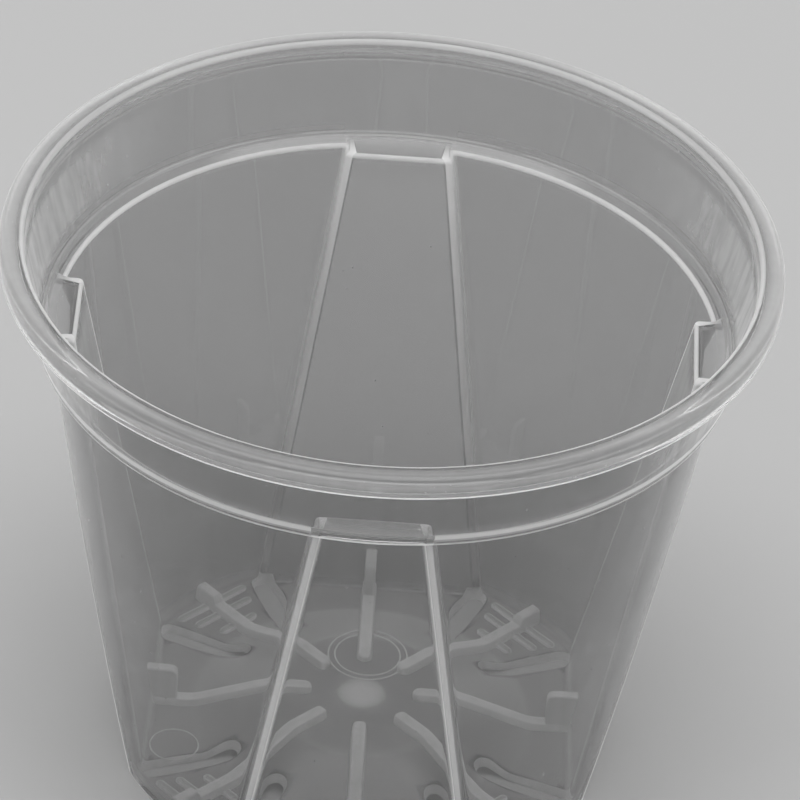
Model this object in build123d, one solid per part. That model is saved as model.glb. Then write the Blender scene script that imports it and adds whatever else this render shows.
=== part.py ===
from build123d import *
import os
from math import radians, tan

# Orchid pot with slots: one thin clear moulding, made as its zones.
# Each zone is a solid that meets its neighbours face to face.
# Millimetres, +Z up, origin at the middle of the plane that the pot stands on.

# Overall sizes
pot_height = 77.5
rim_outer_radius = 50.0
wall = 0.9

# Rim bead: the thick rounded lip, and the short neck moulded under it
bead_height = 3.0
bead_overhang = 2.6
bead_flare = 0.4
bead_outer_round = 1.2
bead_inner_round = 0.6
neck_height = 1.0

# Collar: the tapered band under the bead
collar_height = 10.8
collar_draft = 2.5

# Ledge: the step in from the collar to the wall
ledge_width = 1.7
ledge_drop = 0.7

# Conical wall: how much narrower it is where the pot stands
wall_draft = 9.8

# Recessed panels: depth behind the wall at the top and at the foot.
# Half the width is in shares of the wall's radius at the foot and at the top.
panel_top_depth = 2.9
panel_foot_depth = 4.9
panel_half_share = (0.452, 0.157)

# Floor: flat outer ring, cone and raised disc.
# The disc's radius and the cone's foot are in shares of the floor's radius.
floor_thickness = 1.1
dome_rise = 3.6
dome_radius_share = (0.39, 0.695)

# Slots, one at each edge of each panel, cut on into the foot of the wall.
# Their length is in shares of the floor's radius.
slot_width = 2.7
slot_length_share = 0.406
slot_splay = 22.0
slot_notch = 0.9

# Ribs to the panels, and the upright tabs at their ends
rib_width = 2.1
rib_height = 1.0
rib_start = 6.7
tab_width = 1.5
tab_length = 2.9
tab_height = 5.7
tab_round = 1.3

# Diagonal ribs, with a short raised stop at the wall
corner_rib_height = 1.2
stop_length = 3.4
stop_rise = 1.0

# Low bars across each diagonal rib: place and half length in shares of the flat ring
tread_width = 1.3
tread_height = 0.4
tread_place_share = (0.222, 0.535, 0.778)
tread_half_share = (0.323, 0.505, 0.616)

# Gate mark under the middle of the floor
gate_radius = 3.1
gate_depth = 0.4

# Every cut runs this far past what it cuts
overrun = 5.0

quarter_turn = 90
standing = (Align.CENTER, Align.CENTER, Align.MIN)
sides = ("rear", "left", "front", "right")
corners = ("rear_left", "front_left", "front_right", "rear_right")

# Places that follow from the sizes above, from the top down
bead_foot = pot_height - bead_height
neck_foot = bead_foot - neck_height
collar_top_radius = rim_outer_radius - bead_overhang
rim_inner_radius = collar_top_radius - wall + bead_flare
collar_foot_height = bead_foot - collar_height
collar_foot_radius = collar_top_radius - collar_draft
collar_lean = collar_draft / collar_height
ledge_top = collar_foot_height + wall
wall_top_height = collar_foot_height - ledge_drop
wall_top_radius = collar_foot_radius - ledge_width
wall_foot_radius = wall_top_radius - wall_draft
panel_top_offset = wall_top_radius - panel_top_depth
panel_foot_offset = wall_foot_radius - panel_foot_depth
panel_foot_half = panel_half_share[0] * wall_foot_radius
panel_top_half = panel_half_share[1] * wall_top_radius
floor_radius = wall_foot_radius - wall
dome_disc_radius = dome_radius_share[0] * floor_radius
dome_foot_radius = dome_radius_share[1] * floor_radius
slot_length = slot_length_share * floor_radius


def turned(shape, step):
    """The shape turned about the axis by a number of quarter turns."""
    return Rot(0, 0, step * quarter_turn) * shape


def all_round(shape):
    """Four copies of the shape, a quarter turn apart."""
    return [turned(shape, step) for step in range(len(sides))]


def between(foot_value, top_value, z):
    """A size at height z that changes evenly from the ground to the top of the wall."""
    return foot_value + (top_value - foot_value) * z / wall_top_height


def collar_radius(z):
    """The collar's outside radius at height z."""
    return collar_foot_radius + collar_lean * (z - collar_foot_height)


def ring(points):
    """A solid of revolution whose half section is given as radius and height."""
    face = make_face(Polyline(*points, close=True))
    return revolve(Plane.XZ * face, Axis.Z)


def cone(inset):
    """The wall's whole cone, set in by the wall's thickness or not."""
    return Cone(wall_foot_radius - inset, wall_top_radius - inset, wall_top_height, align=standing)


def recess(inset, spread, low, high):
    """The wedge of space behind the rear panel, grown inwards and sideways."""
    rows = []
    for z in (low, high):
        half = between(panel_foot_half, panel_top_half, z) + spread
        near = between(panel_foot_offset, panel_top_offset, z) - inset
        far = rim_outer_radius + overrun
        row = Polyline((-half, near, z), (half, near, z), (half, far, z), (-half, far, z), close=True)
        rows.append(make_face(row))
    return loft(rows, ruled=True)


def long_recess(inset, spread):
    """The same wedge, run past both ends of the wall."""
    return recess(inset, spread, -overrun, wall_top_height + overrun)


def quarter_space():
    """All the space at the rear left, between two panels' middles."""
    reach = rim_outer_radius + overrun
    block = Box(reach, reach, pot_height + 2 * overrun, align=(Align.MAX, Align.MIN, Align.MIN))
    return Pos(0, 0, -overrun) * block


def bar(length, width, low, high):
    """An upright bar with round ends, laid along +Y from its tip at the axis."""
    plan = Pos(0, length / 2) * Rot(0, 0, quarter_turn) * SlotOverall(length, width)
    return Pos(0, 0, low) * extrude(plan, high - low)


# Rim bead, with the neck that the collar carries on from
def make_rim_bead():
    outline = make_face(Polyline(
        (collar_radius(neck_foot) - wall, neck_foot),
        (collar_radius(neck_foot), neck_foot),
        (collar_top_radius, bead_foot),
        (rim_outer_radius, bead_foot),
        (rim_outer_radius, pot_height),
        (rim_inner_radius, pot_height),
        (collar_top_radius - wall, bead_foot),
        close=True,
    ))
    outline = fillet(outline.vertices().sort_by(Axis.Y)[-2:].sort_by(Axis.X)[0], bead_inner_round)
    outline = fillet(outline.vertices().sort_by(Axis.X)[-2:].sort_by(Axis.Y)[-1], bead_outer_round)
    return revolve(Plane.XZ * outline, Axis.Z)


# Collar, from the neck down to the ledge
def make_collar():
    return ring([
        (collar_radius(ledge_top) - wall, ledge_top),
        (collar_radius(ledge_top), ledge_top),
        (collar_radius(neck_foot), neck_foot),
        (collar_radius(neck_foot) - wall, neck_foot),
    ])


# Ledge: the step in to the wall, with a flat roof over each recess
def make_ledge():
    roof_top = wall_top_height + wall
    step = ring([
        (wall_top_radius - wall, wall_top_height),
        (wall_top_radius, wall_top_height),
        (collar_foot_radius, collar_foot_height),
        (collar_radius(ledge_top), ledge_top),
        (collar_radius(ledge_top) - wall, ledge_top),
        (wall_top_radius - wall, roof_top),
    ])
    inside = Pos(0, 0, wall_top_height) * Cylinder(wall_top_radius - wall / 2, wall, align=standing)
    roof = inside & recess(wall, wall / 2, wall_top_height, roof_top)
    for copy in all_round(roof):
        step += copy
    return step


# Slots: each runs in from the foot of a panel's edge, leaning to the axis
slot_end_x = panel_foot_half
slot_end_y = panel_foot_offset - wall / 2


def slots(high):
    """All eight slots, as cutters from below the floor up to a height."""
    cutters = []
    cutter = bar(slot_length, slot_width, -overrun, high)
    for hand in (-1, 1):
        inwards = Rot(0, 0, 2 * quarter_turn - hand * slot_splay)
        cutters += all_round(Pos(hand * slot_end_x, slot_end_y) * inwards * cutter)
    return cutters


floor_slots = slots(floor_thickness + dome_rise + overrun)
foot_slots = slots(floor_thickness + slot_notch)
recess_cuts = all_round(long_recess(wall, wall / 2))


# Panels: a flat plate with a return at each side, out to the cone
def make_panel():
    return (cone(0) & long_recess(wall, wall / 2)) - long_recess(0, -wall / 2) - foot_slots


# Corner walls: the cone between two panels
def make_corner_wall():
    return (cone(0) - cone(wall) - recess_cuts - foot_slots) & quarter_space()


# Cavity: all that the walls hold between them
cavity = cone(wall) - recess_cuts


# Floor: a level ring, a cone up to the disc, and the disc
def dome_line(lift):
    return [
        (0, dome_rise + lift),
        (dome_disc_radius, dome_rise + lift),
        (dome_foot_radius, lift),
        (rim_outer_radius, lift),
    ]


def layer(low, high):
    """What lies between two heights above the floor's underside, all over the floor."""
    return ring(dome_line(low) + dome_line(high)[::-1]) & cavity


middle = Pos(0, 0, -overrun) * Cylinder(
    dome_disc_radius, pot_height + overrun, align=standing)
floor_outside = layer(0, floor_thickness) - middle - floor_slots


def tongue_space():
    """The space inside the rear panel, between the middle lines of its two slots."""
    slant = tan(radians(slot_splay))
    near = slot_end_x - slot_end_y * slant
    plan = make_face(Polyline(
        (-near, 0), (near, 0), (slot_end_x, slot_end_y), (-slot_end_x, slot_end_y), close=True))
    return Pos(0, 0, -overrun) * extrude(plan, pot_height + overrun)


tongue_spaces = all_round(tongue_space())


def make_floor_disc():
    return layer(0, floor_thickness) & middle


def make_floor_tongue():
    return floor_outside & tongue_spaces[0]


def make_floor_corner():
    return (floor_outside - tongue_spaces) & quarter_space()


# Ribs: bars that follow the floor out to the wall
def rib(high, direction):
    """A rib with its round tip near the axis, up to a height above the floor."""
    plan = Pos(0, rib_start) * bar(rim_outer_radius, rib_width, -overrun, pot_height)
    return layer(floor_thickness, floor_thickness + high) & direction * plan


def make_panel_rib():
    inner = panel_foot_offset - wall - tab_length
    tab_top = floor_thickness + tab_height
    side_view = make_face(Polyline(
        (inner, floor_thickness),
        (rim_outer_radius, floor_thickness),
        (rim_outer_radius, tab_top),
        (inner, tab_top),
        close=True,
    ))
    side_view = fillet(side_view.vertices().sort_by(Axis.Y)[-2:].sort_by(Axis.X)[0], tab_round)
    tab = extrude(Plane.YZ * side_view, tab_width / 2, both=True) & cavity
    return rib(rib_height, Rot(0, 0, 0)) + tab


diagonal = Rot(0, 0, quarter_turn / 2)


def make_corner_rib():
    stop = Pos(0, floor_radius - stop_length, floor_thickness) * Box(
        rib_width, stop_length + overrun, corner_rib_height + stop_rise,
        align=(Align.CENTER, Align.MIN, Align.MIN))
    return rib(corner_rib_height, diagonal) + (diagonal * stop & cavity)


# Tread bars: low bars across a diagonal rib, cut in two by it
def make_tread_bars():
    ring_width = floor_radius - dome_foot_radius
    bars = []
    for place, half in zip(tread_place_share, tread_half_share):
        plan = Pos(0, dome_foot_radius + place * ring_width) * SlotOverall(
            2 * half * ring_width, tread_width)
        bars.append(diagonal * Pos(0, 0, floor_thickness) * extrude(plan, tread_height))
    whole = bars[0] + bars[1:]
    return (whole & cavity) - make_corner_rib() - floor_slots


# Gate boss: the small round mark under the disc
def make_gate_boss():
    return Pos(0, 0, dome_rise - gate_depth) * Cylinder(gate_radius, gate_depth, align=standing)


def save(name, shape):
    solids = shape.solids()
    whole = solids[0] if len(solids) == 1 else Compound(solids)
    export_step(whole, f"parts/{name}.step")


os.makedirs("parts", exist_ok=True)
save("rim_bead", make_rim_bead())
save("collar", make_collar())
save("ledge", make_ledge())
save("floor_disc", make_floor_disc())
save("gate_boss", make_gate_boss())

side_zones = {
    "panel": make_panel(),
    "floor_tongue": make_floor_tongue(),
    "panel_rib": make_panel_rib(),
}
corner_zones = {
    "corner_wall": make_corner_wall(),
    "floor_corner": make_floor_corner(),
    "corner_rib": make_corner_rib(),
    "tread_bars": make_tread_bars(),
}
for places, zones in ((sides, side_zones), (corners, corner_zones)):
    for step, place in enumerate(places):
        for zone, shape in zones.items():
            save(f"{zone}_{place}", turned(shape, step))
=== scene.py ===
import bmesh
import bpy
from math import asin, atan2, cos, degrees, hypot, pi, radians, sin, sqrt
from mathutils import Matrix, Vector


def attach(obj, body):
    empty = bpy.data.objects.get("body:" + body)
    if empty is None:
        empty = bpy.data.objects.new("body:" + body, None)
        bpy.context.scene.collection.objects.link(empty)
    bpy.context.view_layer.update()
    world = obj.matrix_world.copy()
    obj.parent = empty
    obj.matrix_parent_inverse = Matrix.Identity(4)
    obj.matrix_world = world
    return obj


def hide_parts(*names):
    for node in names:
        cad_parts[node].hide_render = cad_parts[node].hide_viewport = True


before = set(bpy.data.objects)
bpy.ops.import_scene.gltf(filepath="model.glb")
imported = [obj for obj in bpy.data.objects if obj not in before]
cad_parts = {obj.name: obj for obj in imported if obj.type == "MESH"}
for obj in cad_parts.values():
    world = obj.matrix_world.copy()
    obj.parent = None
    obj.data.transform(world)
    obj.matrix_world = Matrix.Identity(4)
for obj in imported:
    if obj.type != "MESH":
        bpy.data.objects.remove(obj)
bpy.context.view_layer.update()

# Room: a plain pale floor that runs on out of sight, and soft studio light.
# The pot is clear, so the floor is a shade below white and its bright edges still read.
scene = bpy.context.scene
MM = 0.001


class Wire:
    """One output socket, with arithmetic that adds its Math nodes."""

    def __init__(self, finish, socket):
        self.finish = finish
        self.socket = socket

    def joined(self, operation, *values):
        return self.finish.add("Math", {"operation": operation}, dict(enumerate(values)))

    def __add__(self, other):
        return self.joined("ADD", self, other)

    def __radd__(self, other):
        return self.joined("ADD", other, self)

    def __sub__(self, other):
        return self.joined("SUBTRACT", self, other)

    def __rsub__(self, other):
        return self.joined("SUBTRACT", other, self)

    def __mul__(self, other):
        return self.joined("MULTIPLY", self, other)

    def __rmul__(self, other):
        return self.joined("MULTIPLY", other, self)

    def __truediv__(self, other):
        return self.joined("DIVIDE", self, other)

    def clipped(self):
        return self.joined("MINIMUM", self.joined("MAXIMUM", self, 0.0), 1.0)

    def exponent(self):
        return self.joined("EXPONENT", self)


class Finish:
    """A material whose nodes all come from one method."""

    def __init__(self, owner, name=None):
        self.material = owner
        if name:
            self.material = bpy.data.materials.new(name)
        self.material.use_nodes = True
        self.tree = self.material.node_tree
        self.tree.nodes.clear()

    def add(self, kind, settings=(), sockets=(), output=0):
        node = self.tree.nodes.new("ShaderNode" + kind)
        for name, value in dict(settings).items():
            if name == "stops":
                ramp = node.color_ramp.elements
                while len(ramp) < len(value):
                    ramp.new(1.0)
                for stop, (place, colour) in zip(ramp, value):
                    stop.position = place
                    stop.color = (*colour, 1.0)
            else:
                setattr(node, name, value)
        for name, value in dict(sockets).items():
            if isinstance(value, Wire):
                self.tree.links.new(value.socket, node.inputs[name])
            else:
                node.inputs[name].default_value = value
        return Wire(self, node.outputs[output]) if len(node.outputs) else None


def grey(value):
    return (value, value, value, 1.0)


FLOOR_REACH = 3000.0
FLOOR_HEIGHT = -0.05
LAMP_AIM = (0.0, 0.0, 0.04)
floor_paint = Finish(None, "floor_paint")
mottle = floor_paint.add("TexNoise", {}, {"Scale": 9.0, "Detail": 3.0})
floor_paint.add("OutputMaterial", {}, {"Surface": floor_paint.add("BsdfPrincipled", {}, {
    "Base Color": floor_paint.add("ValToRGB", {"stops": [
        (0.3, (0.46, 0.46, 0.46)), (0.7, (0.49, 0.49, 0.49))]}, {"Fac": mottle}),
    "Roughness": 0.9,
    "Specular IOR Level": 0.2,
})})


def piece_from(name, points, faces, material, scale=MM):
    """A mesh object whose points are given in millimetres."""
    mesh = bpy.data.meshes.new(name)
    mesh.from_pydata([tuple(value * scale for value in point) for point in points], [], faces)
    mesh.materials.append(material)
    made = bpy.data.objects.new(name, mesh)
    scene.collection.objects.link(made)
    return made


floor = piece_from("floor", [
    (-FLOOR_REACH, -FLOOR_REACH, FLOOR_HEIGHT), (FLOOR_REACH, -FLOOR_REACH, FLOOR_HEIGHT),
    (FLOOR_REACH, FLOOR_REACH, FLOOR_HEIGHT), (-FLOOR_REACH, FLOOR_REACH, FLOOR_HEIGHT)],
    [(0, 1, 2, 3)], floor_paint.material)


def lamp(name, place, size, power):
    """A soft lamp, aimed at the middle of the pot."""
    light = bpy.data.lights.new(name, "AREA")
    light.shape = "RECTANGLE"
    light.size, light.size_y = size
    light.energy = power
    holder = bpy.data.objects.new(name, light)
    holder.location = place
    holder.rotation_euler = (Vector(LAMP_AIM) - Vector(place)).to_track_quat("-Z", "Y").to_euler()
    scene.collection.objects.link(holder)


lamp("left_lamp", (-0.95, -0.45, 0.42), (0.9, 0.5), 3.0)
lamp("right_lamp", (0.95, -0.45, 0.42), (0.9, 0.5), 3.0)
lamp("front_lamp", (0.0, -1.1, 0.45), (1.4, 0.5), 4.5)
lamp("rear_lamp", (0.0, 1.0, 0.45), (1.0, 0.4), 2.2)

world = bpy.data.worlds.new("studio_air")
scene.world = world
air = Finish(world)
air_split = air.add("SeparateXYZ", {}, {0: air.add("TexCoord", {}, {}, "Generated")})
toward_x = Wire(air, air_split.socket.node.outputs["X"])
toward_z = Wire(air, air_split.socket.node.outputs["Z"])
panels = ((toward_x * toward_x - 0.35) * 4.0).clipped() * ((toward_z - 0.05) * 4.0).clipped()
ceiling = ((toward_z - 0.88) * 20.0).clipped()
air.add("OutputWorld", {}, {"Surface": air.add("Background", {}, {
    "Color": grey(1.0), "Strength": 0.3 + 0.5 * panels + 2.6 * ceiling})})

scene.view_settings.view_transform = "Standard"
scene.cycles.transparent_max_bounces = 48
scene.cycles.max_bounces = 16

# Camera: at the photograph's place, looking down 36 degrees from in front.
CAMERA_PLACE = (0.0, -0.6823, 0.5517)
CAMERA_PITCH = 36.16
CAMERA_ROLL = 3.97
lens = bpy.data.cameras.new("camera")
lens.lens = 294.6
lens.sensor_width = 36.0
lens.shift_x = 0.0221
lens.shift_y = -0.0015
lens.clip_start = 0.01
lens.clip_end = 20.0
camera = bpy.data.objects.new("camera", lens)
camera.matrix_world = (
    Matrix.Translation(CAMERA_PLACE)
    @ Matrix.Rotation(radians(90.0 - CAMERA_PITCH), 4, "X")
    @ Matrix.Rotation(radians(CAMERA_ROLL), 4, "Z"))
scene.collection.objects.link(camera)
scene.camera = camera

# Clear polypropylene: grey and glassy, with a faint haze that thickens where the wall is
# seen along its length. Folds, edges and the collar's sides are made milkier still: partly
# real scatter, partly a painted highlight for the light the plastic bends and reflects there.
# The edge mark holds haze and painted highlights: bright lines along folds, bead, ledge and rib flanks.
EDGE_MARK = "milky_edge"
TINT = 0.48
HAZE = 0.035
THICK_HAZE = 1.2
CUT_HAZE_AND_PAINTED_HIGHLIGHT = 2.5
EDGE_HAZE_AND_PAINTED_HIGHLIGHT = 1.2
SPECK_HAZE = 0.12
GLOSS = 0.015
REFRACTION = 1.49
COLLAR_SPAN = (0.0655, 0.0742)
COLLAR_MIDDLE = 0.03


def clear_plastic(name, haze):
    """The pot's plastic. Haze is how much light its surface scatters, seen square on."""
    finish = Finish(None, name)
    edge = finish.add("Attribute", {"attribute_name": EDGE_MARK}, {}, "Fac")
    place = finish.add("TexCoord", {}, {}, "Object")
    facing = finish.add("LayerWeight", {}, {"Blend": 0.5}, "Facing")
    cloud = finish.add("TexNoise", {}, {"Vector": place, "Scale": 60.0, "Detail": 4.0})
    speck = finish.add("TexNoise", {}, {"Vector": place, "Scale": 1600.0, "Detail": 1.0})
    specks = ((speck - 0.74) * 14.0).clipped()
    apart = finish.add("SeparateXYZ", {}, {0: place})
    across, height = (Wire(finish, apart.socket.node.outputs[axis]) for axis in "XZ")
    drawn_out = finish.add("VectorMath", {"operation": "MULTIPLY"}, {0: place, 1: (1.0, 1.0, 0.01)})
    streak = finish.add("TexNoise", {}, {"Vector": drawn_out, "Scale": 700.0, "Detail": 1.0})
    strokes = ((streak - 0.35) * 3.0).clipped()
    # On the collar's left and right sides the milky share is raised: a painted highlight where side
    # light falls, with real vertical streaks in it.
    low, high = COLLAR_SPAN
    collar_zone = ((height - low) * 600.0).clipped() * ((high - height) * 800.0).clipped()
    beside = ((across * across - COLLAR_MIDDLE ** 2) * 1100.0).clipped()
    satin = GLOSS + 0.1 * edge.clipped()
    clear = finish.add("BsdfPrincipled", {}, {
        "Base Color": grey(TINT),
        "Transmission Weight": 1.0,
        "Roughness": satin,
        "IOR": REFRACTION,
    })
    white_haze_and_highlight = finish.add("BsdfPrincipled", {}, {
        "Base Color": grey(0.95),
        "Transmission Weight": 0.25,
        "Roughness": 0.6,
        "IOR": REFRACTION,
    })
    depth = (
        haze * (0.5 + 0.6 * cloud + 0.4 * strokes) + EDGE_HAZE_AND_PAINTED_HIGHLIGHT * edge + SPECK_HAZE * specks
        + collar_zone * beside * (0.1 + 0.08 * strokes))
    share = 1.0 - (0.0 - depth / (1.03 - facing)).exponent()
    finish.add("OutputMaterial", {}, {
        "Surface": finish.add("MixShader", {}, {0: share, 1: clear, 2: white_haze_and_highlight})})
    return finish.material


plastic = clear_plastic("clear_polypropylene", HAZE)
thick_plastic = clear_plastic("thick_polypropylene", THICK_HAZE)
# The cut sides' strong haze is partly the scatter of a cut face, partly a painted highlight.
cut_plastic = clear_plastic("cut_polypropylene", CUT_HAZE_AND_PAINTED_HIGHLIGHT)

# The moulding: rim bead, collar, ledge, wall, recessed panels and floor are one skin,
# clear polypropylene 0.9 mm thick, shot in one mould from a gate under the floor.
POT_HEIGHT = 77.5
RIM_RADIUS = 50.0
WALL = 0.9
BEAD_FOOT = 74.5
COLLAR_TOP = 47.4
COLLAR_FOOT = 44.9
COLLAR_FOOT_HEIGHT = 63.7
RIM_INSIDE = 46.9
LEDGE_UNDER = 63.0
WALL_RADII = (33.4, 43.2)
PANEL_OFFSETS = (28.5, 40.3)
PANEL_HALVES = (15.1, 6.78)
FLOOR_TOP = 1.1
DOME_RISE = 3.6
DOME_FOOT = 22.59
DISC_RADIUS = 12.68
FOLD_ROUND = 0.6
ARC_STEPS = 12
ROUND_STEPS = 5
PANEL_STEPS = 8
FOLD_TURN = 0.12
PLATE_EDGE = 0.9
PLATE_FADE = 0.12
CHORD_RADIUS = 31.15
CHORD_OFFSET = 26.25
CHORD_EASE = 0.35
MARK_LEAD = 0.15
MARK_TRAIL = 0.12
SMOOTH_ANGLE = 30.0


def eased(start, corner, end, count):
    """Points on the curve that rounds a corner, ends included."""
    made = []
    for step in range(count):
        t = step / (count - 1)
        made.append(tuple(
            (1 - t) ** 2 * a + 2 * t * (1 - t) * b + t * t * c
            for a, b, c in zip(start, corner, end)))
    return made


def wall_sizes(z, outer, grow):
    """Cone radius, panel offset and half width of one skin at height z, grown by an amount."""
    share = z / LEDGE_UNDER
    radius, offset, half = (
        low + (high - low) * share for low, high in (WALL_RADII, PANEL_OFFSETS, PANEL_HALVES))
    if outer:
        return radius + grow, offset + grow, half - WALL / 2 - grow
    return radius - WALL + grow, offset - WALL + grow, half + WALL / 2 - grow


def half_outline(z, outer, grow):
    """The wall's plan from the middle of a corner to the middle of the rear panel."""
    radius, offset, half = wall_sizes(z, outer, grow)
    turn = asin(half / radius)
    edge_y = sqrt(radius ** 2 - half ** 2)
    trim = min(FOLD_ROUND, 0.42 * (edge_y - offset))
    last = turn + trim / radius
    beside = turn + (PLATE_EDGE + PLATE_FADE) / radius
    angles = [pi / 4 + (beside - pi / 4) * step / ARC_STEPS for step in range(ARC_STEPS + 1)]
    angles.append(turn + PLATE_EDGE / radius)
    made = [(-radius * sin(angle), radius * cos(angle)) for angle in angles]
    made += eased(
        (-radius * sin(last), radius * cos(last)), (-half, edge_y), (-half, edge_y - trim), ROUND_STEPS)
    made.append((-half, (edge_y + offset) / 2))
    made += eased((-half, offset + trim), (-half, offset), (-half + trim, offset), ROUND_STEPS)
    made.append((-half + PLATE_EDGE, offset))
    for step in range(PANEL_STEPS + 1):
        made.append(((-half + PLATE_EDGE + PLATE_FADE) * (1 - step / PANEL_STEPS), offset))
    return made


def rim_angles():
    """The turn of each column from the middle of the panel, above the wall."""
    radius, offset, half = wall_sizes(LEDGE_UNDER, False, 0.0)
    turn = asin(half / radius)
    fold_steps = 2 * ROUND_STEPS + 4
    panel_turn = turn - radians(FOLD_TURN) * fold_steps
    made = [pi / 4 + (turn - pi / 4) * step / ARC_STEPS for step in range(ARC_STEPS)]
    made += [turn - radians(FOLD_TURN) * step for step in range(fold_steps + 1)]
    for step in range(1, PANEL_STEPS + 1):
        made.append(panel_turn * (1 - step / PANEL_STEPS))
    return made


def half_chord():
    """The floor's plan just inside the folds: an arc and a straight line, eased between."""
    corner_x = sqrt(CHORD_RADIUS ** 2 - CHORD_OFFSET ** 2)
    last = asin(corner_x / CHORD_RADIUS) + CHORD_EASE / CHORD_RADIUS
    made = []
    for step in range(ARC_STEPS):
        angle = pi / 4 + (last - pi / 4) * step / ARC_STEPS
        made.append((-CHORD_RADIUS * sin(angle), CHORD_RADIUS * cos(angle)))
    made += eased(
        (-CHORD_RADIUS * sin(last), CHORD_RADIUS * cos(last)), (-corner_x, CHORD_OFFSET),
        (CHORD_EASE - corner_x, CHORD_OFFSET), 2 * ROUND_STEPS + 5)
    for step in range(1, PANEL_STEPS + 1):
        made.append(((CHORD_EASE - corner_x) * (1 - step / PANEL_STEPS), CHORD_OFFSET))
    return made


def floor_angles():
    return [atan2(-x, y) for x, y in half_chord()]


def all_round(half):
    """A closed plan from an eighth of it: mirrored, then turned four times."""
    quarter = half + [(-x, y) for x, y in half[-2:0:-1]]
    made = []
    for step in range(4):
        for x, y in quarter:
            made.append([(x, y), (y, -x), (-x, -y), (-y, x)][step])
    return made


def circle(radius, angles):
    return all_round([(-radius * sin(a), radius * cos(a)) for a in angles])


def outline(z, outer, grow=0.0):
    return all_round(half_outline(z, outer, grow))


def faded(first, second, share):
    return [tuple(a + (b - a) * share for a, b in zip(p, q)) for p, q in zip(first, second)]


def collar_outside(z):
    return COLLAR_FOOT + (COLLAR_TOP - COLLAR_FOOT) * (z - COLLAR_FOOT_HEIGHT) / (
        BEAD_FOOT - COLLAR_FOOT_HEIGHT)


rows = []


def lay(plan, z, mark=0.0, fold=0.0, recess=0.0, corner=0.0):
    """One more row of the skin, and its mark all round, at folds, panels and corners: haze, and a
    painted highlight along bends and edges.
    """
    rows.append((plan, z, mark, fold, recess, corner))


def lay_circles(points, angles, marks):
    for (radius, z), mark in zip(points, marks):
        lay(circle(radius, angles), z, mark)


def dome(lift):
    """The floor's line from its middle to the foot of the dome, eased at both bends."""
    ease = 0.8
    fall = DOME_RISE / (DOME_FOOT - DISC_RADIUS)
    bend = ease * fall
    return (
        [(radius, DOME_RISE + lift) for radius in (1.4, 2.6, 3.4, 5.0, 8.0, DISC_RADIUS - 1.6)]
        + eased((DISC_RADIUS - ease, DOME_RISE + lift), (DISC_RADIUS, DOME_RISE + lift),
                (DISC_RADIUS + ease, DOME_RISE + lift - bend), 4)
        + [(DISC_RADIUS + (DOME_FOOT - DISC_RADIUS) * part, lift + DOME_RISE * (1 - part))
           for part in (0.3, 0.5, 0.7)]
        + eased((DOME_FOOT - ease, lift + bend), (DOME_FOOT, lift), (DOME_FOOT + ease, lift), 4))


# The dome marks paint faint highlight lines along the floor's bends.
DOME_MARKS = (0, 0, 0, 0, 0, 0, 0.02, 0.08, 0.08, 0.02, 0, 0, 0, 0.02, 0.05, 0.02, 0.0)
GATE_MARKS = (0.7, 0.4, 0.05)
WALL_LEVELS = (4.0, 8.0, 14.0, 20.0, 27.0, 34.0, 41.0, 48.0, 55.0, 60.0)

rim_turns = rim_angles()


def lay_bend(plan_at, start, corner, end, mark, fold=0.0, count=ROUND_STEPS, recess=0.0):
    """Rows round a bend. Its mark, a painted highlight over a little haze, is strongest in the middle
    and gone just past its ends.
    """
    path = eased(start, corner, end, count)
    lead = [(1 - MARK_LEAD) * a + MARK_LEAD * b for a, b in zip(start, corner)]
    for number, (across, z) in enumerate([start, lead, *path[1:]]):
        middle = 0.0 if number == 0 else sin(pi * max(0.15, min(0.85, (number - 0.5) / count)))
        lay(plan_at(across, z), z, mark * middle, fold, recess * middle)
    across, z = (b + MARK_TRAIL * (b - a) for a, b in zip(corner, end))
    lay(plan_at(across, z), z, 0.0, fold)


def outer_plan(grow, z):
    return outline(z, True, grow)


def inner_plan(grow, z):
    return outline(z, False, grow)


def round_plan(radius, z):
    return circle(radius, rim_turns)


# The bead's marks are painted highlights: bright lines along its inner top edge, its outer round and
# its lower edge.
BEAD_MARK = 0.12
FLOOR_MARK = 0.22

# the underside, from the middle out to the foot, and up the outside of the wall
lay_circles(dome(0.0), floor_angles(), DOME_MARKS)
chord = all_round(half_chord())
lay(faded(rows[-1][0], chord, 0.5), 0.0)
lay(chord, 0.0)
for grow in (-1.9, -1.3):
    lay(outline(0.0, True, grow), 0.0)
lay_bend(outer_plan, (-0.5, 0.0), (0.0, 0.0), (0.0, 0.5), 0.35, 1.0)
for z in WALL_LEVELS:
    lay(outline(z, True), z, 0.0, 1.0)
# the ledge and the collar, outside
# Marks at the ledge's edge, the collar's foot and the bands above it are painted highlights.
lay_bend(outer_plan, (0.0, 62.4), (0.0, LEDGE_UNDER), (0.5, LEDGE_UNDER), 0.15, 0.8, 4)
lay(round_plan(43.9, 0.0), 63.25, 0.1)
lay_bend(round_plan, (44.5, 63.5), (44.95, 63.68), (collar_outside(64.1), 64.1), 0.3,
         recess=0.8)
for z, mark in ((64.55, 0.05), (64.85, 0.35), (65.35, 0.35), (65.75, 0.05), (67.0, 0.0),
                (69.5, 0.0), (72.0, 0.0), (73.6, 0.0)):
    lay(round_plan(collar_outside(z), z), z, corner=mark)
# the bead, round to its inner edge
lay_bend(round_plan, (collar_outside(74.2), 74.2), (COLLAR_TOP, BEAD_FOOT), (47.7, BEAD_FOOT), 0.2,
         0.0, 4)
lay(round_plan(48.8, 0.0), BEAD_FOOT, BEAD_MARK)
lay_bend(round_plan, (49.6, BEAD_FOOT), (RIM_RADIUS, BEAD_FOOT), (RIM_RADIUS, 74.9), 0.6)
lay(round_plan(RIM_RADIUS, 0.0), 75.6, BEAD_MARK)
for radius, z in eased((RIM_RADIUS, 76.2), (RIM_RADIUS, POT_HEIGHT), (48.7, POT_HEIGHT), 7):
    lay(round_plan(radius, z), z, BEAD_MARK + 0.06)
lay(round_plan(48.1, 0.0), POT_HEIGHT, BEAD_MARK)
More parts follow.
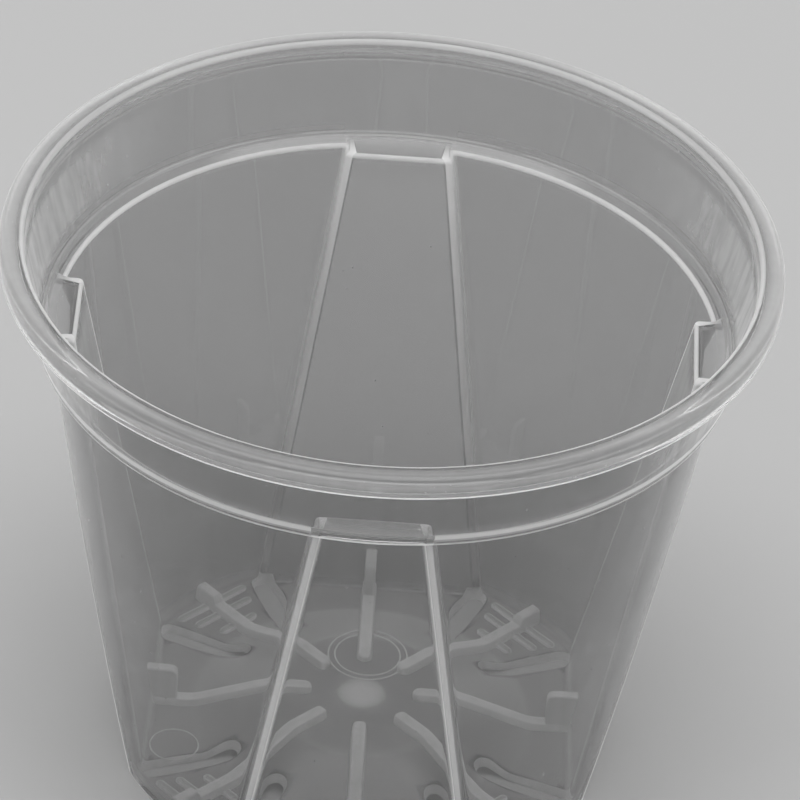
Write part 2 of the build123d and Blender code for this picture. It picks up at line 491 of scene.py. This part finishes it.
# the inside, from the bead down to the floor and in to the middle
inner_start = len(rows)
lay_bend(round_plan, (47.5, POT_HEIGHT), (RIM_INSIDE, POT_HEIGHT), (46.82, 76.9), 0.4)
lay(round_plan(46.65, 0.0), 75.6, BEAD_MARK)
for z in (74.5, 73.0, 71.0, 69.0, 67.0, 65.9):
    lay(round_plan(collar_outside(z) - WALL, z), z)
lay_bend(round_plan, (collar_outside(65.1) - WALL, 65.1), (44.2, 64.6), (43.8, 64.45), 0.05, 0.0, 4)
lay(round_plan(43.3, 0.0), 64.25, 0.02, 0.0, 0.12)
# The inner ledge edge's mark is a painted highlight. The inner folds' painted highlight grows brighter
# higher up, and the floor's fillet carries a faint one.
lay_bend(inner_plan, (0.45, 64.0), (0.0, 63.9), (0.0, 63.45), 0.75, 1.0)
for z in WALL_LEVELS[::-1]:
    lay(outline(z, False), z, 0.0, min(1.0, max(0.25, (z - 10.0) / 17.0)), 0.05)
for grow, z in eased((0.0, FLOOR_TOP + 0.7), (0.0, FLOOR_TOP), (-0.5, FLOOR_TOP), ROUND_STEPS):
    lay(outline(z, False, grow), z, 0.16, 0.6)
lay(outline(FLOOR_TOP, False, -0.9), FLOOR_TOP, FLOOR_MARK)
lay(chord, FLOOR_TOP, FLOOR_MARK)
top_dome = dome(FLOOR_TOP)[::-1]
lay(faded(chord, circle(top_dome[0][0], floor_angles()), 0.5), FLOOR_TOP, FLOOR_MARK)
lay_circles(top_dome, floor_angles(), [
    FLOOR_MARK + mark for mark in DOME_MARKS[:2:-1] + GATE_MARKS[::-1]])

top_line = [(0.0, DOME_RISE + FLOOR_TOP)] + top_dome[::-1] + [(RIM_RADIUS, FLOOR_TOP)]


def floor_height(radius):
    """The height of the floor's top at a distance from the axis."""
    for (r0, z0), (r1, z1) in zip(top_line, top_line[1:]):
        if radius <= r1:
            return z0 + (z1 - z0) * (radius - r0) / (r1 - r0)
    return FLOOR_TOP


# how milky each column of a skin is marked, from the middle of a corner to the middle of a panel:
# at the folds, a painted highlight over a little haze
COLUMNS = len(rows[0][0])
crease = [0.3, 0.35, 0.35, 0.2, 0.0]
outer_folds = (
    [0.0] * ARC_STEPS + [0.0, 0.27] + [0.27, 0.27, 0.27, 0.27, 0.27] + [0.3]
    + crease + [0.0, 0.0] + [0.0] * PANEL_STEPS)
inner_folds = (
    [0.0] * ARC_STEPS + [0.0, 0.0] + crease[::-1]
    + [0.3] + [0.3, 0.7, 1.0, 1.0, 1.0] + [1.0, 0.0] + [0.0] * PANEL_STEPS)
fold_marks = [(half + half[-2:0:-1]) * 4 for half in (outer_folds, inner_folds)]
points = [(0.0, 0.0, DOME_RISE)]
marks = [0.0]
half_recess = [0.0] * (ARC_STEPS + 2) + [1.0] * (2 * ROUND_STEPS + 3 + PANEL_STEPS)
recess_marks = (half_recess + half_recess[-2:0:-1]) * 4
for number, (plan, z, mark, fold, recess, corner) in enumerate(rows):
    for (x, y), here, inside in zip(plan, fold_marks[number >= inner_start], recess_marks):
        points.append((x, y, z))
        marks.append(max(mark, fold * here, recess * inside, corner * (1.0 - inside)))
points.append((0.0, 0.0, DOME_RISE + FLOOR_TOP))
marks.append(FLOOR_MARK + GATE_MARKS[0])
faces = []
for column in range(COLUMNS):
    after = (column + 1) % COLUMNS
    faces.append((0, 1 + column, 1 + after))
    for row in range(len(rows) - 1):
        low = 1 + row * COLUMNS
        high = low + COLUMNS
        faces.append((low + column, high + column, high + after, low + after))
    last = 1 + (len(rows) - 1) * COLUMNS
    faces.append((last + column, len(points) - 1, last + after))

shell = piece_from("pot_shell", points, faces, plastic)


def mark_edges(piece, values):
    """Stores each point's mark: haze, and painted highlights along edges and folds."""
    layer = piece.data.attributes.new(EDGE_MARK, "FLOAT", "POINT")
    layer.data.foreach_set("value", values)


mark_edges(shell, marks)

# Slots: eight round-ended openings in the floor that drain the pot, one at the foot of each
# fold. The mould leaves them open. Their cut sides lean a little and are milky: partly the
# scatter of a cut face, partly a painted highlight for light that runs in the floor and leaves at the
# cut.
SLOT_WIDTH = 2.7
SLOT_LENGTH = 13.195
SLOT_SPLAY = 22.0
SLOT_TIP = (15.1, 28.05)
SLOT_FOOT_IN = -0.1
SLOT_HEAD_OUT = 0.35
SLOT_END_STEPS = 12
SLOT_BENDS = (2.6, 4.0)
CUTTER_FOOT = -2.0
CUTTER_TOPS = (2.0, 7.0)


def slot_plan(widen):
    """The slot's outline across and along, from its tip at the origin, widened all round."""
    made = []
    radius = SLOT_WIDTH / 2 + widen
    for turn, middle, side, bends in (
            (0.0, SLOT_WIDTH / 2, -radius, SLOT_BENDS),
            (pi, SLOT_LENGTH - SLOT_WIDTH / 2, radius, SLOT_BENDS[::-1])):
        for step in range(SLOT_END_STEPS + 1):
            angle = turn + pi * step / SLOT_END_STEPS
            made.append((radius * cos(angle), middle - radius * sin(angle)))
        made += [(side, along) for along in bends]
    return made


def cutter_top(along):
    """Low at the slot's tip, where it only notches the wall, and high over the floor."""
    return CUTTER_TOPS[along > sum(SLOT_BENDS) / 2]


def tidy_normals(piece):
    """Turns every face of a closed piece outwards."""
    shaped = bmesh.new()
    shaped.from_mesh(piece.data)
    bmesh.ops.recalc_face_normals(shaped, faces=shaped.faces)
    shaped.to_mesh(piece.data)
    shaped.free()


cutter_points = []
cutter_faces = []
for turn in range(4):
    for hand in (-1, 1):
        spin = radians(180.0 - hand * SLOT_SPLAY)
        base = len(cutter_points)
        for level in range(4):
            for x, s in slot_plan(SLOT_FOOT_IN if level < 2 else SLOT_HEAD_OUT):
                px = hand * SLOT_TIP[0] + x * cos(spin) - s * sin(spin)
                py = SLOT_TIP[1] + x * sin(spin) + s * cos(spin)
                under = floor_height(hypot(px, py)) - FLOOR_TOP
                z = (CUTTER_FOOT, under + 0.15, under + FLOOR_TOP - 0.05, cutter_top(s))[level]
                px, py = [(px, py), (py, -px), (-px, -py), (-py, px)][turn]
                cutter_points.append((px, py, z))
        count = len(slot_plan(0.0))
        for level in range(3):
            ring = base + level * count
            for step in range(count):
                after = (step + 1) % count
                cutter_faces.append((ring + step, ring + after, ring + count + after,
                                     ring + count + step))
        cutter_faces.append([base + step for step in range(count)][::-1])
        # the top is three flat facets: low, sloping and high
        top = [base + 3 * count + step for step in range(count)]
        bend = SLOT_END_STEPS + 1
        cutter_faces.append(top[:bend + 1] + [top[-1]])
        cutter_faces.append([top[bend], top[bend + 1], top[-2], top[-1]])
        cutter_faces.append(top[bend + 1:-1])

cutter = piece_from("slot_cutter", cutter_points, cutter_faces, cut_plastic)
tidy_normals(cutter)
tidy_normals(shell)

cut = shell.modifiers.new("slots", "BOOLEAN")
cut.operation = "DIFFERENCE"
cut.solver = "EXACT"
cut.material_mode = "TRANSFER"
cut.object = cutter
depsgraph = bpy.context.evaluated_depsgraph_get()
cut_mesh = bpy.data.meshes.new_from_object(shell.evaluated_get(depsgraph))
shell.modifiers.clear()
shell.data = cut_mesh
bpy.data.objects.remove(cutter)


def smooth(piece):
    """Smooth shading that stops at sharp corners."""
    shaped = bmesh.new()
    shaped.from_mesh(piece.data)
    for face in shaped.faces:
        face.smooth = True
    for edge in shaped.edges:
        if len(edge.link_faces) == 2 and degrees(edge.calc_face_angle(0.0)) > SMOOTH_ANGLE:
            edge.smooth = False
    shaped.to_mesh(piece.data)
    shaped.free()


smooth(shell)
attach(shell, "root")
corners = ("rear_left", "front_left", "front_right", "rear_right")
sides = ("rear", "left", "front", "right")
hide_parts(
    "rim_bead", "collar", "ledge", "floor_disc",
    *(f"panel_{side}" for side in sides),
    *(f"floor_tongue_{side}" for side in sides),
    *(f"corner_wall_{corner}" for corner in corners),
    *(f"floor_corner_{corner}" for corner in corners))

# Ribs to the panels: low round-topped bars on the floor, moulded with it in the same clear
# polypropylene. Being thicker than the floor, they are milkier.
RIB_START = 6.7
RIB_WIDTH = 2.1
RIB_HEIGHT = 1.0
RIB_SINK = 0.2
PANEL_RIB_END = 27.9
RIB_LEVELS = (9.5, 11.2, 11.9, 12.5, 13.2, 14.5, 16.5, 18.5, 20.5, 21.7, 22.4, 23.1, 24.0, 26.0)
CREST = (
    (-1.0, -1.0), (-1.0, 0.0), (-0.94, 0.35), (-0.85, 0.7), (-0.74, 0.92), (-0.58, 1.0),
    (-0.2, 1.0), (0.2, 1.0), (0.58, 1.0), (0.74, 0.92), (0.85, 0.7), (0.94, 0.35),
    (1.0, 0.0), (1.0, -1.0))
# Crest marks: painted highlights on the flanks and tip, a little haze on top.
CREST_MARKS = (0.1, 0.8, 1.0, 1.0, 0.9, 0.3, 0.1, 0.1, 0.3, 0.9, 1.0, 1.0, 0.8, 0.1)


def ridge(name, stations, crest, marks, place, material=None):
    """A closed low bar. Stations are (distance along, half width, height, sink, mark)."""
    made = []
    point_haze_and_highlight = []
    count = len(crest)
    for along, half, high, sink, mark in stations:
        for (across, up), edge in zip(crest, marks):
            x, y = place(across * half, along)
            base = floor_height(hypot(x, y))
            made.append((x, y, base + (up * high if up >= 0 else -sink)))
            point_haze_and_highlight.append(max(mark, edge))
    joined = []
    for row in range(len(stations) - 1):
        for step in range(count):
            after = (step + 1) % count
            joined.append((
                row * count + step, row * count + after,
                (row + 1) * count + after, (row + 1) * count + step))
    joined.append(list(range(count)))
    joined.append([(len(stations) - 1) * count + step for step in range(count)][::-1])
    bar = piece_from(name, made, joined, material or thick_plastic)
    mark_edges(bar, point_haze_and_highlight)
    tidy_normals(bar)
    smooth(bar)
    return bar


def turned(degrees_round):
    """Places a point given across and along a bar that points to the rear before it turns."""
    angle = radians(degrees_round)

    def place(x, y):
        return (x * cos(angle) - y * sin(angle), x * sin(angle) + y * cos(angle))
    return place


def round_tip(start, half, high, count=6):
    """Stations of a bar's round tip, from its very end to its full width."""
    made = []
    for step in range(count):
        turn = pi / 2 * (0.12 + 0.88 * step / (count - 1))
        made.append((start + half * (1 - cos(turn)), half * sin(turn), high * sin(turn) ** 0.5,
                     RIB_SINK, 0.7 * (1 - step / (count - 1))))
    return made


def rib_stations(end, high):
    """Stations of a rib from its tip to its end, close together where the floor bends."""
    places = [at for at in RIB_LEVELS if at < end] + [end]
    return round_tip(RIB_START, RIB_WIDTH / 2, high) + [
        (at, RIB_WIDTH / 2, high, RIB_SINK, 0.0) for at in places]


for step, side in enumerate(sides):
    rib = ridge(f"panel_rib_{side}", rib_stations(PANEL_RIB_END, RIB_HEIGHT), CREST, CREST_MARKS,
                turned(90.0 * step))
    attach(rib, "root")
    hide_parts(f"panel_rib_{side}")

# Tabs: a small upright plate at the outer end of each panel rib, moulded on to the rib and
# the panel in the same clear plastic.
TAB_WIDTH = 1.5
TAB_INNER = 24.7
TAB_TOP = 6.8
TAB_ROUND = 1.3
TAB_FOOT = 0.8
TAB_OVERLAP = 0.3
TAB_LAYERS = ((-1, 0.18), (-0.8, 0.0), (0.8, 0.0), (1, 0.18))


def panel_inside(z):
    """How far off the axis a panel's inner face is at height z."""
    low, high = PANEL_OFFSETS
    return low - WALL + (high - low) * z / LEDGE_UNDER


def tab(name, place):
    """A closed plate with eased long edges and one rounded corner."""
    layers = []
    for across, inset in TAB_LAYERS:
        plan = [(TAB_INNER + inset, TAB_FOOT)]
        plan += eased((TAB_INNER + inset, TAB_TOP - TAB_ROUND), (TAB_INNER + inset, TAB_TOP - inset),
                      (TAB_INNER + TAB_ROUND, TAB_TOP - inset), 6)
        plan += [(panel_inside(TAB_TOP) + TAB_OVERLAP, TAB_TOP - inset),
                 (panel_inside(TAB_FOOT) + TAB_OVERLAP, TAB_FOOT)]
        layers.append([(*place(across * TAB_WIDTH / 2, y), z) for y, z in plan])
    count = len(layers[0])
    made = [point for layer in layers for point in layer]
    joined = [list(range(count)), [3 * count + step for step in range(count)][::-1]]
    for row in range(3):
        for step in range(count):
            after = (step + 1) % count
            joined.append((row * count + step, row * count + after,
                           (row + 1) * count + after, (row + 1) * count + step))
    plate = piece_from(name, made, joined, thick_plastic)
    face_marks = [0.5] + [0.35] * (count - 1)
    mark_edges(plate, face_marks + [0.1] * (2 * count) + face_marks)
    tidy_normals(plate)
    smooth(plate)
    return plate


for step, side in enumerate(sides):
    plate = tab(f"rib_tab_{side}", turned(90.0 * step))
    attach(plate, "root")

# Diagonal ribs: four more bars moulded on the floor, from the middle to the corner walls.
# Each ends in a short stop that stands higher.
CORNER_RIB_HEIGHT = 1.2
STOP_LENGTH = 3.4
STOP_RISE = 1.0
FLOOR_RADIUS = 32.5
for step, corner in enumerate(corners):
    start = FLOOR_RADIUS - STOP_LENGTH
    stations = rib_stations(start - 0.25, CORNER_RIB_HEIGHT)
    tall = CORNER_RIB_HEIGHT + STOP_RISE
    # The stop's marks are painted highlights on its raised end.
    stations += [
        (start, RIB_WIDTH / 2, tall - 0.35, RIB_SINK, 0.9),
        (start + 0.35, RIB_WIDTH / 2, tall, RIB_SINK, 0.8),
        (FLOOR_RADIUS + 0.1, RIB_WIDTH / 2, tall, RIB_SINK, 0.5),
    ]
    rib = ridge(f"corner_rib_{corner}", stations, CREST, CREST_MARKS, turned(45.0 + 90.0 * step))
    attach(rib, "root")
    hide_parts(f"corner_rib_{corner}")

# Tread bars: three low bars with round ends across each diagonal rib, moulded on the floor
# in the same clear plastic. Only their edges are milky: painted highlights along them.
TREAD_WIDTH = 1.3
TREAD_HEIGHT = 0.4
TREADS = ((24.8, 3.2), (27.9, 5.0), (30.3, 6.1))
LOW_CREST = (
    (-1.0, -1.0), (-1.0, 0.0), (-0.8, 0.7), (-0.5, 1.0), (0.0, 1.0), (0.5, 1.0), (0.8, 0.7),
    (1.0, 0.0), (1.0, -1.0))
LOW_MARKS = (0.5, 1.5, 1.5, 0.5, 0.3, 0.5, 1.5, 1.5, 0.5)
for step, corner in enumerate(corners):
    for number, (radius, half) in enumerate(TREADS):
        turn_corner = turned(45.0 + 90.0 * step)
        tip = [(at - half, wide, high, sink, mark)
               for at, wide, high, sink, mark in round_tip(0.0, TREAD_WIDTH / 2, TREAD_HEIGHT, 5)]
        stations = tip + [(0.0, TREAD_WIDTH / 2, TREAD_HEIGHT, RIB_SINK, 0.0)] + [
            (-at, wide, high, sink, mark) for at, wide, high, sink, mark in tip[::-1]]
        bar = ridge(f"tread_bar_{number}_{corner}", stations, LOW_CREST, LOW_MARKS,
                    lambda across, along, r=radius, put=turn_corner: put(along, r + across),
                    plastic)
        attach(bar, "root")
        if number == 0:
            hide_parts(f"tread_bars_{corner}")

# Gate mark: the low disc under the middle of the floor where the plastic was shot in,
# cloudy because it cooled last.
GATE_RADIUS = 3.1
GATE_DROP = 0.38
GATE_COLUMNS = 48


def disc(name, rings, columns, marks):
    """A closed round piece from its rings, each a radius and a height, first to last."""
    made = [(0.0, 0.0, rings[0][1])]
    for radius, z in rings:
        for step in range(columns):
            turn = 2 * pi * step / columns
            made.append((radius * cos(turn), radius * sin(turn), z))
    made.append((0.0, 0.0, rings[-1][1]))
    joined = []
    for step in range(columns):
        after = (step + 1) % columns
        joined.append((0, 1 + step, 1 + after))
        for ring in range(len(rings) - 1):
            low = 1 + ring * columns
            joined.append((low + step, low + columns + step, low + columns + after, low + after))
        low = 1 + (len(rings) - 1) * columns
        joined.append((low + step, len(made) - 1, low + after))
    piece = piece_from(name, made, joined, thick_plastic)
    mark_edges(piece, [marks[0], *(mark for mark in marks for step in range(columns)), marks[-1]])
    tidy_normals(piece)
    smooth(piece)
    return piece


gate_foot = DOME_RISE - GATE_DROP
gate = disc("gate_mark", [
    (1.5, gate_foot), (GATE_RADIUS - 0.35, gate_foot),
    *eased((GATE_RADIUS - 0.2, gate_foot), (GATE_RADIUS, gate_foot),
           (GATE_RADIUS, gate_foot + 0.2), 4),
    (GATE_RADIUS, DOME_RISE + 0.2), (GATE_RADIUS - 0.4, DOME_RISE + 0.2)],
    GATE_COLUMNS, (0.0, 0.0, 0.3, 0.5, 0.5, 0.3, 0.0, 0.0))
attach(gate, "root")
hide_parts("gate_boss")

# Pin marks: faint raised rings in the floor's top, left by the pins that push the pot
# off the mould.
PIN_MARKS = (("disc_outer", 0.4, 8.3, 5.3), ("disc_inner", 0.4, 8.3, 4.4), ("floor", -24.3, -9.2, 3.2))
PIN_RIDGE = 0.1
PIN_COLUMNS = 72


def pin_ring(name, x, y, radius, base):
    """A thin half-round ring that stands a little proud of the floor."""
    section = ((-1.0, -1.5), (-1.0, 0.0), (-0.6, 0.6), (0.0, 0.85), (0.6, 0.6), (1.0, 0.0), (1.0, -1.5))
    count = len(section)
    made = []
    joined = []
    for step in range(PIN_COLUMNS):
        turn = 2 * pi * step / PIN_COLUMNS
        for across, up in section:
            reach = radius + across * PIN_RIDGE
            made.append((x + reach * cos(turn), y + reach * sin(turn), base + up * PIN_RIDGE / 1.4))
        after = (step + 1) % PIN_COLUMNS
        for number in range(count):
            other = (number + 1) % count
            joined.append((step * count + number, step * count + other,
                           after * count + other, after * count + number))
    ring = piece_from(name, made, joined, thick_plastic)
    mark_edges(ring, [0.25] * len(made))
    tidy_normals(ring)
    smooth(ring)
    return ring


for label, x, y, radius in PIN_MARKS:
    ring = pin_ring(f"pin_ring_{label}", x, y, radius, floor_height(hypot(x, y)))
    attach(ring, "root")
